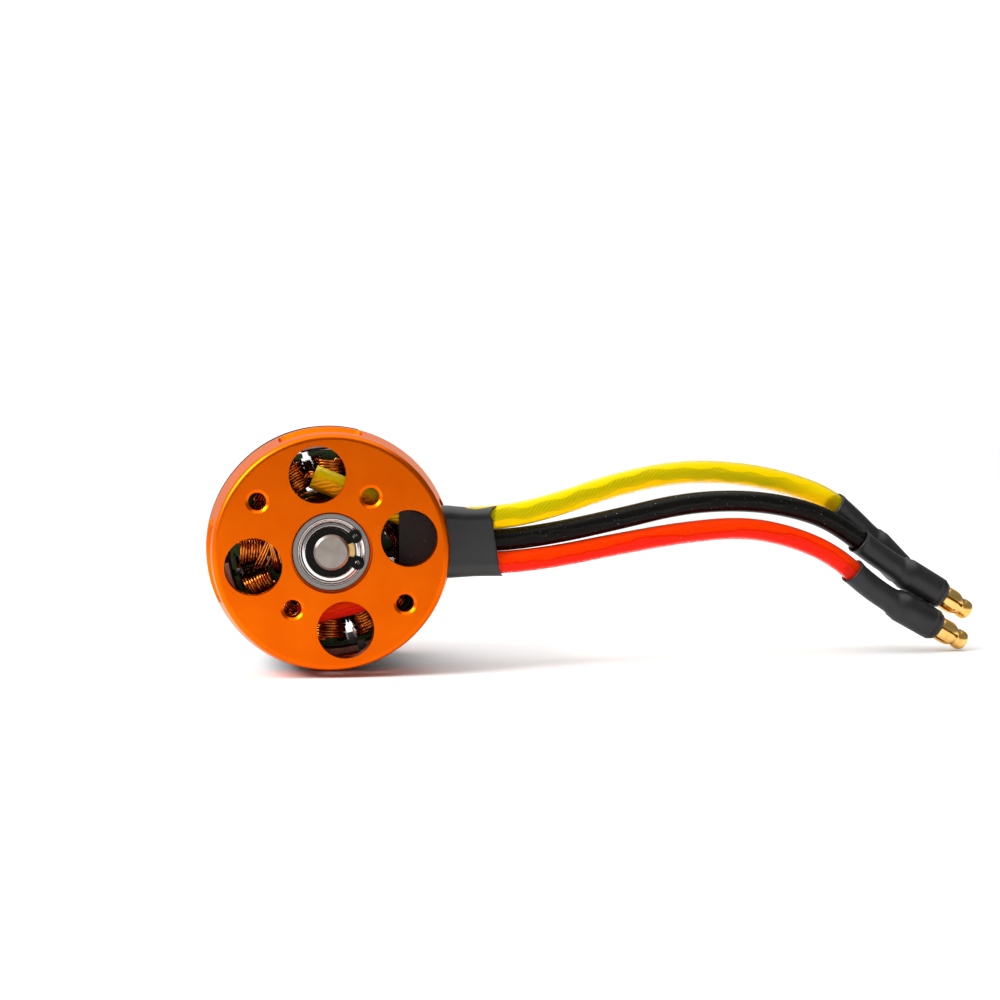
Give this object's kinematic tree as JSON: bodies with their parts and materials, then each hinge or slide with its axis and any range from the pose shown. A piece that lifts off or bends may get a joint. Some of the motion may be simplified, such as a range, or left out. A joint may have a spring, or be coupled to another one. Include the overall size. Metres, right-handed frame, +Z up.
{
  "type": "brushless outrunner motor",
  "caption": "Small brushless outrunner motor with a flat vented mounting face, side windows, a rotating can with a through shaft, and soft leads ending in bullet plugs.",
  "frame": {"origin": "centre of the flat mounting face, on the motor axis", "axes": "+Y along the motor axis from the mounting face to the output shaft; +X the way the leads leave; +Z up, as the motor lies on its side"},
  "size_m": [0.1194, 0.053, 0.0353],
  "materials": {
    "orange_anodised": "fine bead-blasted orange anodising with bright turned edges",
    "core_coating": "dark green epoxy coating over steel laminations",
    "copper_wire": "enamelled copper winding wire",
    "can_steel": "turned and darkened steel",
    "magnet_nickel": "nickel-plated magnet, slightly dull",
    "shaft_steel": "ground steel",
    "bearing_steel": "ground and polished bearing steel",
    "shield_steel": "polished pressed steel",
    "black_steel": "black oxide, oiled",
    "brass_shim": "satin brass",
    "label_film": "plain dark printed film, no text",
    "heat_shrink": "satin black heat-shrink",
    "yellow_silicone": "soft translucent yellow silicone over stranded wire",
    "black_silicone": "glossy black silicone",
    "red_silicone": "soft red silicone",
    "gold_plate": "bright gold plating"
  },
  "bodies": {
    "stator": {"mount_base": "orange_anodised", "rear_bearing_outer_ring": "bearing_steel", "rear_bearing_shields": "shield_steel", "front_bearing_outer_ring": "bearing_steel", "front_bearing_shields": "shield_steel", "stator_core": "core_coating", "phase_a_coils": "copper_wire", "phase_b_coils": "copper_wire", "phase_c_coils": "copper_wire", "yellow_lead_inner": "yellow_silicone", "black_lead_inner": "black_silicone", "red_lead_inner": "red_silicone", "lead_sleeve": "heat_shrink", "yellow_lead": "yellow_silicone", "black_lead": "black_silicone", "red_lead": "red_silicone", "yellow_plug": "gold_plate", "black_plug": "gold_plate", "red_plug": "gold_plate", "yellow_plug_sleeve": "heat_shrink", "black_plug_sleeve": "heat_shrink", "red_plug_sleeve": "heat_shrink"},
    "rotor": {"rotor_can": "can_steel", "magnets": "magnet_nickel", "rotor_bell": "orange_anodised", "shaft": "shaft_steel", "retaining_ring": "black_steel", "shim_washer": "brass_shim", "grub_screws": "black_steel", "can_label": "label_film", "rear_bearing_inner_ring": "bearing_steel", "front_bearing_inner_ring": "bearing_steel"},
    "rear_cage": {"rear_bearing_balls": "bearing_steel", "rear_bearing_cage": "shield_steel"},
    "front_cage": {"front_bearing_balls": "bearing_steel", "front_bearing_cage": "shield_steel"}
  },
  "joints": [
    {"name": "rotor_spin", "type": "hinge", "parent": "stator", "child": "rotor", "pos_m": [0, 0, 0], "axis": [0, 1, 0], "continuous": true},
    {"name": "rear_cage_spin", "type": "hinge", "parent": "stator", "child": "rear_cage", "pos_m": [0, 0.0041, 0], "axis": [0, 1, 0], "continuous": true},
    {"name": "front_cage_spin", "type": "hinge", "parent": "stator", "child": "front_cage", "pos_m": [0, 0.0247, 0], "axis": [0, 1, 0], "continuous": true}
  ],
  "couplings": [
    {"joint": "rear_cage_spin", "follows": "rotor_spin", "ratio": 0.4026},
    {"joint": "front_cage_spin", "follows": "rotor_spin", "ratio": 0.4026}
  ]
}
